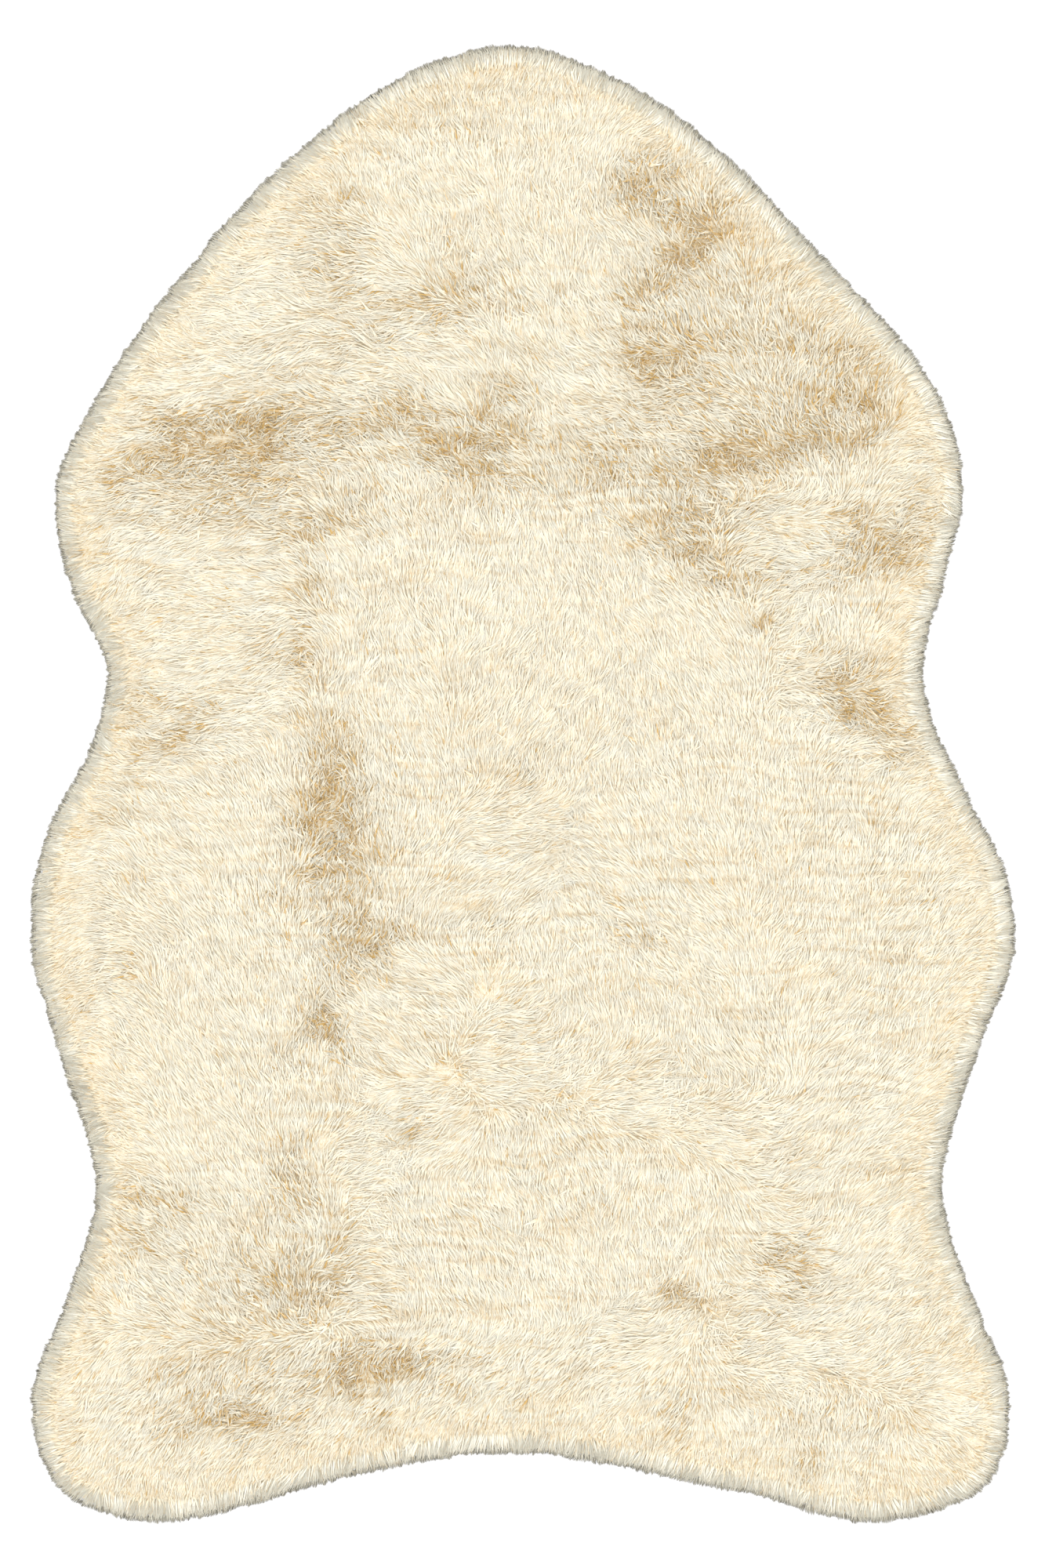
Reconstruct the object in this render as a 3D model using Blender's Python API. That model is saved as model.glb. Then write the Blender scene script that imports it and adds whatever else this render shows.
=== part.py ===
"""A fur rug in the outline of a sheepskin, laid flat with its pile up.

The rug is one thickness of pile fabric, cut to shape, so it is one solid. Its middle is a lumpy slab,
as deep as the pile lies. At the rim the pile parts into locks that lean outwards and rest on the floor.
X runs across the rug, Y along it towards the crown, and Z up from the floor. Sizes are in metres.
"""

import math
import random

import bmesh
import bpy
import numpy as np
from mathutils import Vector, geometry, noise

MM = 0.001

# Driving sizes
WIDTH = 0.600  # across the hips, to the tips of the pile
LENGTH = 0.900  # from the crown to the toes
PILE_DEPTH = 0.019  # where the pile lies over
SHOULDER = 0.034  # how far in from the rim the pile reaches its full depth
SHOULDER_POWER = 2.4  # how round the shoulder is: 1 is a straight slope

# The locks at the rim
LOCKS = 300
LOCK_REACH = 0.0058  # from the root of a lock to the outline
REACH_SPREAD = (0.90, 1.15)  # the least and the most of it, as shares
VALLEY_SPREAD = (0.95, 1.20)  # how far in the gap between two locks ends, as shares of the reach
LOCK_UNEVEN = 0.0024  # the most that a tip falls short of the outline
LOCK_WIDTH_UNEVEN = 0.24  # how far the gap between two locks strays, as a share of a lock's width
LOCK_LEAN = 0.32  # the most that a tip leans along the rim, as a share of a lock's width
LOCK_MIDDLE_WIDTH = 0.74  # halfway out, as a share of the width at the root
ROOT_HEIGHT = 0.0068
MIDDLE_HEIGHT = 0.0044
HEIGHT_SPREAD = (0.85, 1.15)

# The slab's top
FIRST_RING = 0.0145  # in from the outline: where the slab's even mesh starts
MESH_PITCH = 0.0145
MESH_SHIFT = 0.0022  # how far a point of the mesh may stray, so that no rows show
MESH_START = FIRST_RING + MESH_PITCH * 0.6  # the least inset of a point of it
TUFT_SIZE = 0.034  # across the common lumps of the pile
TUFT_RISE = 0.0042
CLUMP_SIZE = 0.013  # across the small clumps on them
CLUMP_RISE = 0.0018

CURVE_STEPS = 24  # between two points of the outline
SEED = 11

FUR_COLOUR = (0.86, 0.76, 0.58)
FUR_ROUGHNESS = 0.95

OUTLINE_MM = (
    # name, across, along
    ("crown", -6, 451),
    ("crown right", 52, 433),
    ("right slope top", 143, 365),
    ("right slope middle", 184, 320),
    ("right slope", 219, 285),
    ("right shoulder top", 257, 233),
    ("right shoulder", 269, 180),
    ("right armpit", 258, 128),
    ("right waist", 244, 66),
    ("right flank", 269, -2),
    ("right hip top", 295, -54),
    ("right hip", 301, -96),
    ("under right hip", 279, -160),
    ("right knee", 256, -248),
    ("right shin", 277, -317),
    ("right foot", 298, -376),
    ("right heel", 287, -423),
    ("right toe", 227, -448),
    ("right hem", 126, -429),
    ("hem middle", -10, -407),
    ("left hem", -110, -422),
    ("left toe hem", -165, -438),
    ("left toe", -230, -448),
    ("left heel", -284, -428),
    ("left foot", -300, -378),
    ("left shin", -280, -317),
    ("left knee", -260, -252),
    ("under left hip", -284, -160),
    ("left hip", -300, -98),
    ("left hip top", -290, -28),
    ("left flank", -264, 22),
    ("left waist", -253, 68),
    ("left armpit", -278, 126),
    ("left shoulder", -286, 178),
    ("left shoulder top", -261, 234),
    ("left slope", -206, 313),
    ("left slope top", -130, 392),
    ("crown left", -65, 436),
)

LUMPS_MM = (
    # name, across, along, half width, half length, turned in degrees, rise
    ("left shoulder, standing", -182, 203, 52, 24, 5, 3.2),
    ("right shoulder, standing", 159, 229, 62, 28, -8, 3.2),
    ("right slope, standing", 97, 329, 40, 15, 42, 2.4),
    ("crown right, standing", 78, 363, 24, 18, 0, 2.2),
    ("neck, standing", -34, 205, 34, 20, 0, 2.4),
    ("left of the middle, standing", -113, -19, 20, 52, 0, 3.2),
    ("under it, standing", -106, -102, 20, 32, 12, 2.6),
    ("its end, standing", -115, -141, 17, 20, 0, 2.4),
    ("right waist, standing", 197, 46, 36, 20, -35, 2.6),
    ("right armpit, standing", 221, 146, 38, 16, 10, 2.2),
    ("inside it, standing", 95, 160, 22, 17, 0, 2.2),
    ("left shin, standing", -142, -306, 44, 28, 20, 2.6),
    ("hem, standing", -78, -353, 36, 12, 0, 2.6),
    ("left toe, standing", -190, -377, 32, 18, 0, 2.2),
    ("right shin, standing", 150, -283, 26, 14, 10, 2.2),
    ("parting beside the crown", 60, 325, 5, 84, 0, -3.0),
    ("parting on the left slope", -101, 315, 5, 52, 0, -2.4),
    ("parting at the left waist", -160, 57, 48, 6, 38, -2.6),
    ("parting at the right waist", 168, 84, 52, 6, -42, -2.6),
    ("parting under the neck", -20, 168, 62, 6, 0, -2.2),
    ("parting on the left hip", -188, -70, 6, 70, 0, -1.8),
    ("parting over the hem", 60, -345, 90, 6, 8, -2.2),
    ("parting on the right hip", 215, -130, 60, 7, 24, -1.8),
)


def clear_scene():
    for old in list(bpy.data.objects):
        bpy.data.objects.remove(old)


def closed_curve(points, steps):
    """A smooth closed curve through the points. Each slope leans to the nearer neighbour, so none overshoots."""
    points = [Vector(point) for point in points]

    def slope(before, here, after):
        back, ahead = (here - before).length, (after - here).length
        return ((here - before) / back * ahead + (after - here) / ahead * back) / (back + ahead)

    made = []
    count = len(points)
    for i, here in enumerate(points):
        before, after = points[i - 1], points[(i + 1) % count]
        beyond = points[(i + 2) % count]
        span = (after - here).length
        leave, arrive = slope(before, here, after) * span, slope(here, after, beyond) * span
        for step in range(steps):
            t = step / steps
            made.append(
                (2 * t**3 - 3 * t**2 + 1) * here
                + (t**3 - 2 * t**2 + t) * leave
                + (3 * t**2 - 2 * t**3) * after
                + (t**3 - t**2) * arrive
            )
    return np.array(made)


def outline():
    """The rug's outline, scaled to its width and length and centred, as points in order."""
    curve = closed_curve([(across, along) for _, across, along in OUTLINE_MM], CURVE_STEPS)
    low, high = curve.min(0), curve.max(0)
    return (curve - (low + high) / 2) * np.array([WIDTH, LENGTH]) / (high - low)


class Rim:
    """Places given by how far along the outline they are, and how far in from it."""

    def __init__(self, curve):
        ahead, behind = np.roll(curve, -1, 0), np.roll(curve, 1, 0)
        way = ahead - behind
        way /= np.linalg.norm(way, axis=1)[:, None]
        self.curve = curve
        # The table runs clockwise, so the rug lies to the right of the way along it.
        self.inward = np.stack([way[:, 1], -way[:, 0]], 1)
        self.run = np.concatenate([[0], np.cumsum(np.linalg.norm(ahead - curve, axis=1))])
        self.length = self.run[-1]

    def place(self, along, inset):
        along %= self.length
        closed = np.concatenate([self.curve, self.curve[:1]])
        inward = np.concatenate([self.inward, self.inward[:1]])
        point = [np.interp(along, self.run, closed[:, k]) for k in (0, 1)]
        way = [np.interp(along, self.run, inward[:, k]) for k in (0, 1)]
        return Vector(point) + Vector(way).normalized() * inset

    def inset_of(self, place):
        return float(np.linalg.norm(self.curve - np.array(place), axis=1).min())


def lump_rise(x, y):
    """What the named lumps and partings add to the pile's height."""
    rise = 0.0
    for _, across, along, half_width, half_length, turned, height in LUMPS_MM:
        turn = math.radians(turned)
        dx, dy = x / MM - across, y / MM - along
        u = (dx * math.cos(turn) + dy * math.sin(turn)) / half_width
        v = (dy * math.cos(turn) - dx * math.sin(turn)) / half_length
        rise += height * MM * math.exp(-u * u - v * v)
    return rise


def pile_height(place, inset):
    """The pile's height over the floor, at a place that far in from the outline."""
    share = min(inset / SHOULDER, 1.0)
    round_over = 1 - (1 - share) ** SHOULDER_POWER
    spot = Vector((place.x, place.y, 0))
    tufts = TUFT_RISE * noise.noise(spot / TUFT_SIZE) + CLUMP_RISE * noise.noise(spot / CLUMP_SIZE)
    return PILE_DEPTH * round_over + (lump_rise(place.x, place.y) + tufts) * share


def add_point(mesh, place, height):
    return mesh.verts.new((place.x, place.y, height))


def lock_starts(rim, chance):
    """Where each lock starts along the outline, and where the last one ends."""
    strays = [chance.uniform(-1, 1) * LOCK_WIDTH_UNEVEN for _ in range(LOCKS)]
    strays.append(strays[0])
    return [(i + stray) * rim.length / LOCKS for i, stray in enumerate(strays)]


def rim_locks(mesh, rim, starts, chance):
    """Builds the locks: each is a three-sided taper with its flat side on the floor.

    Returns the root points that the slab starts from, and the outline of the flat underside.
    """
    valleys, roots, underside, sides = [], [], [], []
    for start, end in zip(starts, starts[1:]):
        middle, width = (start + end) / 2, end - start
        reach = LOCK_REACH * chance.uniform(*REACH_SPREAD)
        short = LOCK_UNEVEN * chance.random() ** 2
        lean = width * LOCK_LEAN * chance.uniform(-1, 1)
        halfway = (reach + short) / 2
        swell = chance.uniform(*HEIGHT_SPREAD)
        side = width * LOCK_MIDDLE_WIDTH / 2

        valley = add_point(mesh, rim.place(start, LOCK_REACH * chance.uniform(*VALLEY_SPREAD)), 0)
        root = add_point(mesh, rim.place(middle, reach), ROOT_HEIGHT * swell)
        left = add_point(mesh, rim.place(middle + lean / 2 - side, halfway), 0)
        right = add_point(mesh, rim.place(middle + lean / 2 + side, halfway), 0)
        ridge = add_point(mesh, rim.place(middle + lean / 2, halfway), MIDDLE_HEIGHT * swell)
        tip = add_point(mesh, rim.place(middle + lean, short), 0)

        valleys.append(valley)
        roots.append(root)
        underside += [valley, left, tip, right]
        sides.append((left, right, ridge, tip))

    for i, (left, right, ridge, tip) in enumerate(sides):
        valley, next_valley = valleys[i], valleys[(i + 1) % LOCKS]
        mesh.faces.new((valley, left, ridge, roots[i]))
        mesh.faces.new((roots[i], ridge, right, next_valley))
        mesh.faces.new((left, tip, ridge))
        mesh.faces.new((ridge, tip, right))
    return valleys, roots, underside


def first_ring(mesh, rim, starts, valleys, roots):
    """Carries the locks' roots up to an even ring, which the slab's top starts from."""
    ring = []
    for start in starts[:-1]:
        place = rim.place(start, FIRST_RING)
        ring.append(add_point(mesh, place, pile_height(place, FIRST_RING)))
    for i in range(LOCKS):
        after = (i + 1) % LOCKS
        mesh.faces.new((valleys[i], roots[i], ring[i]))
        mesh.faces.new((roots[i], ring[after], ring[i]))
        mesh.faces.new((roots[i], valleys[after], ring[after]))
    return ring


def slab_top(mesh, rim, ring, chance):
    """Fills the ring with an even, slightly strayed mesh at the pile's height."""
    row_step = MESH_PITCH * math.sqrt(3) / 2
    rows, columns = int(LENGTH / row_step) + 1, int(WIDTH / MESH_PITCH) + 1
    places = [Vector((vertex.co.x, vertex.co.y)) for vertex in ring]
    boundary = list(range(len(places)))
    corners = np.array(places)
    for row in range(rows):
        for column in range(columns):
            shift = 0.5 if row % 2 else 0.0
            x = -WIDTH / 2 + (column + shift) * MESH_PITCH + chance.uniform(-1, 1) * MESH_SHIFT
            y = -LENGTH / 2 + row * row_step + chance.uniform(-1, 1) * MESH_SHIFT
            place = Vector((x, y))
            if rim.inset_of(place) > MESH_START and inside(corners, place):
                places.append(place)
    points, _, faces, origins, *_ = geometry.delaunay_2d_cdt(places, [], [boundary], 1, 1e-6)
    made = {}
    for i, place in enumerate(points):
        from_ring = [k for k in origins[i] if k < len(ring)]
        if from_ring:
            made[i] = ring[from_ring[0]]
        else:
            made[i] = add_point(mesh, place, pile_height(place, rim.inset_of(place)))
    for face in faces:
        mesh.faces.new([made[k] for k in face])


def inside(corners, place):
    """Whether a place is inside a closed outline, by counting the sides that a ray to the right crosses."""
    ahead = np.roll(corners, -1, 0)
    above, ahead_above = corners[:, 1] > place.y, ahead[:, 1] > place.y
    rise = ahead[:, 1] - corners[:, 1]
    rise[rise == 0] = 1e-12
    crossing = corners[:, 0] + (place.y - corners[:, 1]) / rise * (ahead[:, 0] - corners[:, 0])
    return bool(np.count_nonzero((above != ahead_above) & (crossing > place.x)) % 2)


def fur_material():
    material = bpy.data.materials.new("fur")
    material.use_nodes = True
    shader = material.node_tree.nodes["Principled BSDF"]
    shader.inputs["Base Color"].default_value = (*FUR_COLOUR, 1)
    shader.inputs["Roughness"].default_value = FUR_ROUGHNESS
    shader.inputs["Metallic"].default_value = 0
    return material


def centre_on_floor(mesh):
    """Puts the middle of the rug's box at X 0 and Y 0, and its underside at Z 0."""
    points = np.array([vertex.co for vertex in mesh.verts])
    middle = (points.min(0) + points.max(0)) / 2
    bmesh.ops.translate(mesh, verts=mesh.verts, vec=(-middle[0], -middle[1], -points[:, 2].min()))


def fur_rug():
    chance = random.Random(SEED)
    rim = Rim(outline())
    mesh = bmesh.new()
    starts = lock_starts(rim, chance)
    valleys, roots, underside = rim_locks(mesh, rim, starts, chance)
    ring = first_ring(mesh, rim, starts, valleys, roots)
    slab_top(mesh, rim, ring, chance)
    mesh.faces.new(underside)
    bmesh.ops.recalc_face_normals(mesh, faces=mesh.faces)
    centre_on_floor(mesh)

    data = bpy.data.meshes.new("pile_fabric")
    mesh.to_mesh(data)
    mesh.free()
    data.materials.append(fur_material())
    data.shade_smooth()
    rug = bpy.data.objects.new("pile_fabric", data)
    bpy.context.scene.collection.objects.link(rug)
    return rug


clear_scene()
fur_rug()
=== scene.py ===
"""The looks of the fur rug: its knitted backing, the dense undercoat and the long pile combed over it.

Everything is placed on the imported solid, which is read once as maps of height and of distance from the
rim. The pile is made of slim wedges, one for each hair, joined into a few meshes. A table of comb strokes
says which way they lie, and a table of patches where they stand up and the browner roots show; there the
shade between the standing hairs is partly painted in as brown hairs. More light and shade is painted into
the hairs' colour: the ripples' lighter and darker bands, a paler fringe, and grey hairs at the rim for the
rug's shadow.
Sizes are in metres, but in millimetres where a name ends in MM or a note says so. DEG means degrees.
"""

import math

import bpy
import numpy as np
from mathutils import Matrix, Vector, geometry
from mathutils.bvhtree import BVHTree
from mathutils.kdtree import KDTree


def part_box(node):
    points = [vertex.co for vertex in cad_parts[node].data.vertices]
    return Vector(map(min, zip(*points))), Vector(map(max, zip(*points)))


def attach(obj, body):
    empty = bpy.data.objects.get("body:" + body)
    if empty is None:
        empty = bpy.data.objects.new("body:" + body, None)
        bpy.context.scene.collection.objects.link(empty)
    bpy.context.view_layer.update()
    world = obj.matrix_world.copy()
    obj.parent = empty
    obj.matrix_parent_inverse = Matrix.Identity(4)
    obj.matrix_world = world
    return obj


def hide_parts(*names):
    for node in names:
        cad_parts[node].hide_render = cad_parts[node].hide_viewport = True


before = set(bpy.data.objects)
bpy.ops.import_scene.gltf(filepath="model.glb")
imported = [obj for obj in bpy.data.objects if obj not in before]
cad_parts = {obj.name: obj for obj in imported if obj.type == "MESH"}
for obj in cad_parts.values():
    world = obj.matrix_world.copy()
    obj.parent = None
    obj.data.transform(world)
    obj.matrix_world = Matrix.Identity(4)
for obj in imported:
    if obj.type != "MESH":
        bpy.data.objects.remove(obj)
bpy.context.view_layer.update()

MM = 0.001
NODE = "pile_fabric"

# The maps of the solid
MAP_STEP = 2 * MM
MAP_MARGIN = 30 * MM
INSET_BLUR = 5 * MM
HEIGHT_BLUR = 4 * MM
TEETH_MEAN = 2.2 * MM  # from the solid's smoothed rim out to its tips
NEAR_RIM = 20 * MM  # how far in the pile lies lower, calmer and outwards

# The line inside the rim from which the fringe's places are measured
RIM_LINE_INSET = 9 * MM
RIM_LINE_STEP = 0.6 * MM

# The layers under the long pile
BACKING_INSET = 9 * MM
BACKING_STEP = 14 * MM
BACKING_THICK = 1.6 * MM
UNDERCOAT_BOTTOM = 0.3 * MM
UNDERCOAT_INSET = 2.8 * MM
UNDERCOAT_STEP = 6 * MM
UNDERCOAT_THICK = 11 * MM
UNDERCOAT_THINS = 30 * MM  # from that far inside the rim
UNDERCOAT_SINKS = 1.3 * MM  # at the rim
SINKING_REACH = 13 * MM
UNDERCOAT_ALONG = 0.40  # its colour is that of a hair there
# Darker and browner than the hairs over it: partly the underfur's own colour, partly painted shade for the
# gaps between the hairs
UNDERCOAT_SHADE = (0.22, 0.12)  # lying, and what standing adds
PILE_OVER_UNDERCOAT = 5.5 * MM  # from the undercoat up to the solid's top
GRID_SPAN = (0.62, 0.94)  # across and along, the box of the layers' inner points
ROW_APART = 0.866  # of the step between them

# The long pile
HAIRS = 158000
LONG_PIECES = 4
PILE_INSET = 6 * MM  # how far inside the rim the outermost roots are
HAIR_LENGTH = 13.5 * MM
HAIR_RADIUS = 0.46 * MM
HAIR_WIDEST = 0.32  # how far along a hair it is widest
HAIR_LIFT = 0.6 * MM  # how far under the undercoat's height a hair starts
HAIR_WAVE = 0.16
HAIR_SLIMMER = 0.5  # by how much a standing hair is slimmer
HAIR_LOWEST = 0.6 * MM
HAIR_ROOM = (-0.8 * MM, 2.2 * MM)  # how far inside the rim a hair has to stop
DOWN_HAIRS = 49000
DOWN_LENGTH = 13 * MM
DOWN_RADIUS = 1.0 * MM
DOWN_LIFT = 1.1 * MM
DOWN_WAVE = 0.10
DOWN_MESS = 1.8
DOWN_SLIMMER = 0.3
# The down is darker and browner as well: partly its own colour, partly painted shade for the gaps between the
# long hairs
DOWN_SHADE = 0.09
DOWN_TONE = -0.05
STREAK_WIDTH = 0.40 * MM
STREAK_LENGTH = 3.5 * MM
NORMAL_ROUND = 0.12  # how far a hair's shading leans out at its sides
NORMAL_UNEVEN = 0.045
NORMAL_TILT = 0.2  # the most that it leans with the pile's slope
CLUMP_SIZE = 4.2 * MM
CLUMP_PULL = (0.18, 0.50)  # of a lying hair and of a standing one
FRINGE_HAIRS = 12000
FRINGE_LENGTH = 9 * MM
FRINGE_RADIUS = 0.42 * MM
FRINGE_ROOTS = (6 * MM, 12 * MM)  # how far inside the rim they are
FRINGE_LIFT = (-0.5 * MM, 1.2 * MM)
FRINGE_WAVE = 0.06
FRINGE_MESS = 0.6
FRINGE_SPREAD = 1.4 * MM  # how far apart the tips of neighbours end
FRINGE_LOWEST = 0.9 * MM
# The fringe is painted paler: its roots are kept cream, and its light colour is partly painted light, making
# up for the shade it lies in at the rim
FRINGE_TONE = 0.34
FRINGE_SHADE = -0.17
TOOTH_WIDTH = 1.6 * MM
TOOTH_LENGTH = 0.9 * MM
TOOTH_REACH = -0.8 * MM
# Grey hairs at the very rim, low on the floor: painted shadow, the rug's shadow around its edge
EDGE_HAIRS = 10000
EDGE_LENGTH = 4.5 * MM
EDGE_RADIUS = 0.4 * MM
EDGE_ROOTS = (-0.2 * MM, 0.9 * MM)
EDGE_LIFT = 3 * MM
EDGE_WAVE = 0.02
EDGE_MESS = 0.3
EDGE_SPREAD = (-0.2 * MM, 0.3 * MM)
EDGE_LOWEST = 0.15 * MM
EDGE_SHOWS = 0.25 * MM  # how far it reaches past the fringe

LYING_DEG = (20, -7)  # a lying hair's slope at its root and at its tip
STANDING_DEG = (50, 18)

COMB = (
    # name, across mm, along mm, heading in degrees (0 right, 90 to the crown), how far it reaches in mm
    ("crown, left", -70, 396, 122, 30),
    ("crown", -14, 405, 92, 34),
    ("crown, right", 30, 400, 76, 28),
    ("under the crown, left", -74, 360, 116, 30),
    ("under the crown", -20, 362, 103, 32),
    ("under the crown, right", 28, 350, 99, 30),
    ("swirl right of the crown", 80, 390, 14, 22),
    ("right slope, upper", 86, 352, 138, 26),
    ("right slope, inner", 92, 318, 112, 28),
    ("right slope, rim", 170, 322, 62, 34),
    ("right slope, middle", 130, 286, 118, 30),
    ("right slope, lower", 205, 272, 56, 32),
    ("left slope, top", -140, 352, 150, 30),
    ("left slope, upper", -175, 324, 172, 34),
    ("left slope, middle", -213, 286, 160, 32),
    ("left slope, inner", -128, 305, 178, 34),
    ("left slope, lower", -222, 253, 188, 34),
    ("left of the neck", -120, 262, 184, 34),
    ("left shoulder", -246, 216, 184, 34),
    ("left shoulder, inner", -190, 190, 180, 34),
    ("left armpit, upper", -228, 148, 222, 26),
    ("left armpit", -198, 118, 182, 34),
    ("left armpit, inner", -150, 120, 170, 28),
    ("left waist, upper", -222, 84, 213, 28),
    ("left waist, inner", -168, 80, 197, 28),
    ("left waist", -214, 44, 184, 34),
    ("left flank", -248, 6, 152, 24),
    ("left flank, inner", -210, -16, 136, 26),
    ("left hip, inner", -172, -26, 100, 30),
    ("left hip, top", -278, -34, 200, 22),
    ("left hip", -276, -82, 212, 28),
    ("left hip, low", -272, -120, 192, 28),
    ("left hip, middle", -222, -76, 124, 30),
    ("left hip, far in", -180, -110, 106, 32),
    ("left knee, rim", -256, -196, 142, 26),
    ("left knee", -216, -186, 134, 30),
    ("left knee, inner", -165, -190, 96, 32),
    ("left shin, rim", -250, -268, 148, 28),
    ("left shin", -205, -280, 128, 30),
    ("left shin, inner", -140, -262, 100, 30),
    ("left foot, rim", -282, -372, 208, 26),
    ("left foot", -252, -384, 230, 28),
    ("left foot, inner", -204, -398, 236, 28),
    ("left toe", -230, -430, 252, 26),
    ("left hem, toe side", -158, -402, 226, 30),
    ("neck, left", -60, 222, 142, 26),
    ("neck", -20, 196, 120, 24),
    ("chest, left", -90, 130, 104, 34),
    ("chest", -10, 130, 88, 36),
    ("chest, right", 50, 128, 108, 34),
    ("right of the chest", 100, 100, 118, 34),
    ("belly, left", -84, 40, 96, 36),
    ("belly", 10, 66, 74, 36),
    ("belly, right", 104, 54, 108, 36),
    ("flank, right", 150, -10, 92, 40),
    ("curl in the middle", -16, -38, 6, 20),
    ("middle, left", -90, -60, 82, 34),
    ("middle, right", 84, -72, 132, 30),
    ("under the curl", -34, -72, 48, 20),
    ("swirl on the left", -62, -134, 136, 26),
    ("ripple in the middle", -6, -162, 4, 24),
    ("ripple, right", 60, -182, 0, 24),
    ("ripple, far right", 118, -206, 356, 22),
    ("right of the ripple", 158, -226, 20, 22),
    ("under the ripple", 20, -222, 284, 26),
    ("beside the left shin", -100, -236, 10, 18),
    ("beside it, lower", -102, -290, 0, 18),
    ("inside the right shin", 150, -288, 340, 22),
    ("lower middle", 40, -150, 100, 34),
    ("lower middle, right", 120, -160, 114, 34),
    ("left of the hem", -54, -208, 204, 20),
    ("over the hem, left", -56, -262, 278, 34),
    ("over the hem", 0, -268, 292, 36),
    ("over the hem, right", 96, -258, 268, 34),
    ("right armpit, ripple", 148, 134, 358, 26),
    ("right shoulder, rim", 244, 192, 16, 28),
    ("right shoulder", 186, 232, 102, 34),
    ("right shoulder, inner", 110, 220, 150, 32),
    ("right armpit", 196, 96, 88, 28),
    ("right armpit, rim", 232, 96, 34, 24),
    ("right waist, crease", 176, 62, 336, 22),
    ("right waist", 212, 26, 350, 24),
    ("right flank", 236, -14, 46, 26),
    ("right flank, inner", 200, -30, 84, 28),
    ("right hip, upper", 236, -66, 52, 28),
    ("right hip", 262, -86, 40, 28),
    ("right hip, inner", 190, -110, 72, 30),
    ("right hip, low", 232, -168, 56, 28),
    ("right knee, rim", 246, -212, 20, 26),
    ("right knee", 190, -206, 50, 30),
    ("right shin, rim", 240, -290, 46, 28),
    ("right shin", 200, -252, 60, 30),
    ("right foot, rim", 272, -352, 22, 28),
    ("right foot", 220, -330, 34, 30),
    ("right foot, inner", 140, -344, 24, 28),
    ("right foot, far in", 84, -336, 204, 26),
    ("inside the right foot", 112, -350, 285, 18),
    ("right toe", 262, -412, 330, 26),
    ("right toe, inner", 196, -400, 262, 28),
    ("right hem", 140, -396, 266, 30),
    ("hem, right", 80, -384, 238, 30),
    ("hem", 20, -372, 226, 32),
    ("hem, left", -40, -368, 222, 28),
    ("hem, far left", -96, -392, 232, 28),
)

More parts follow.
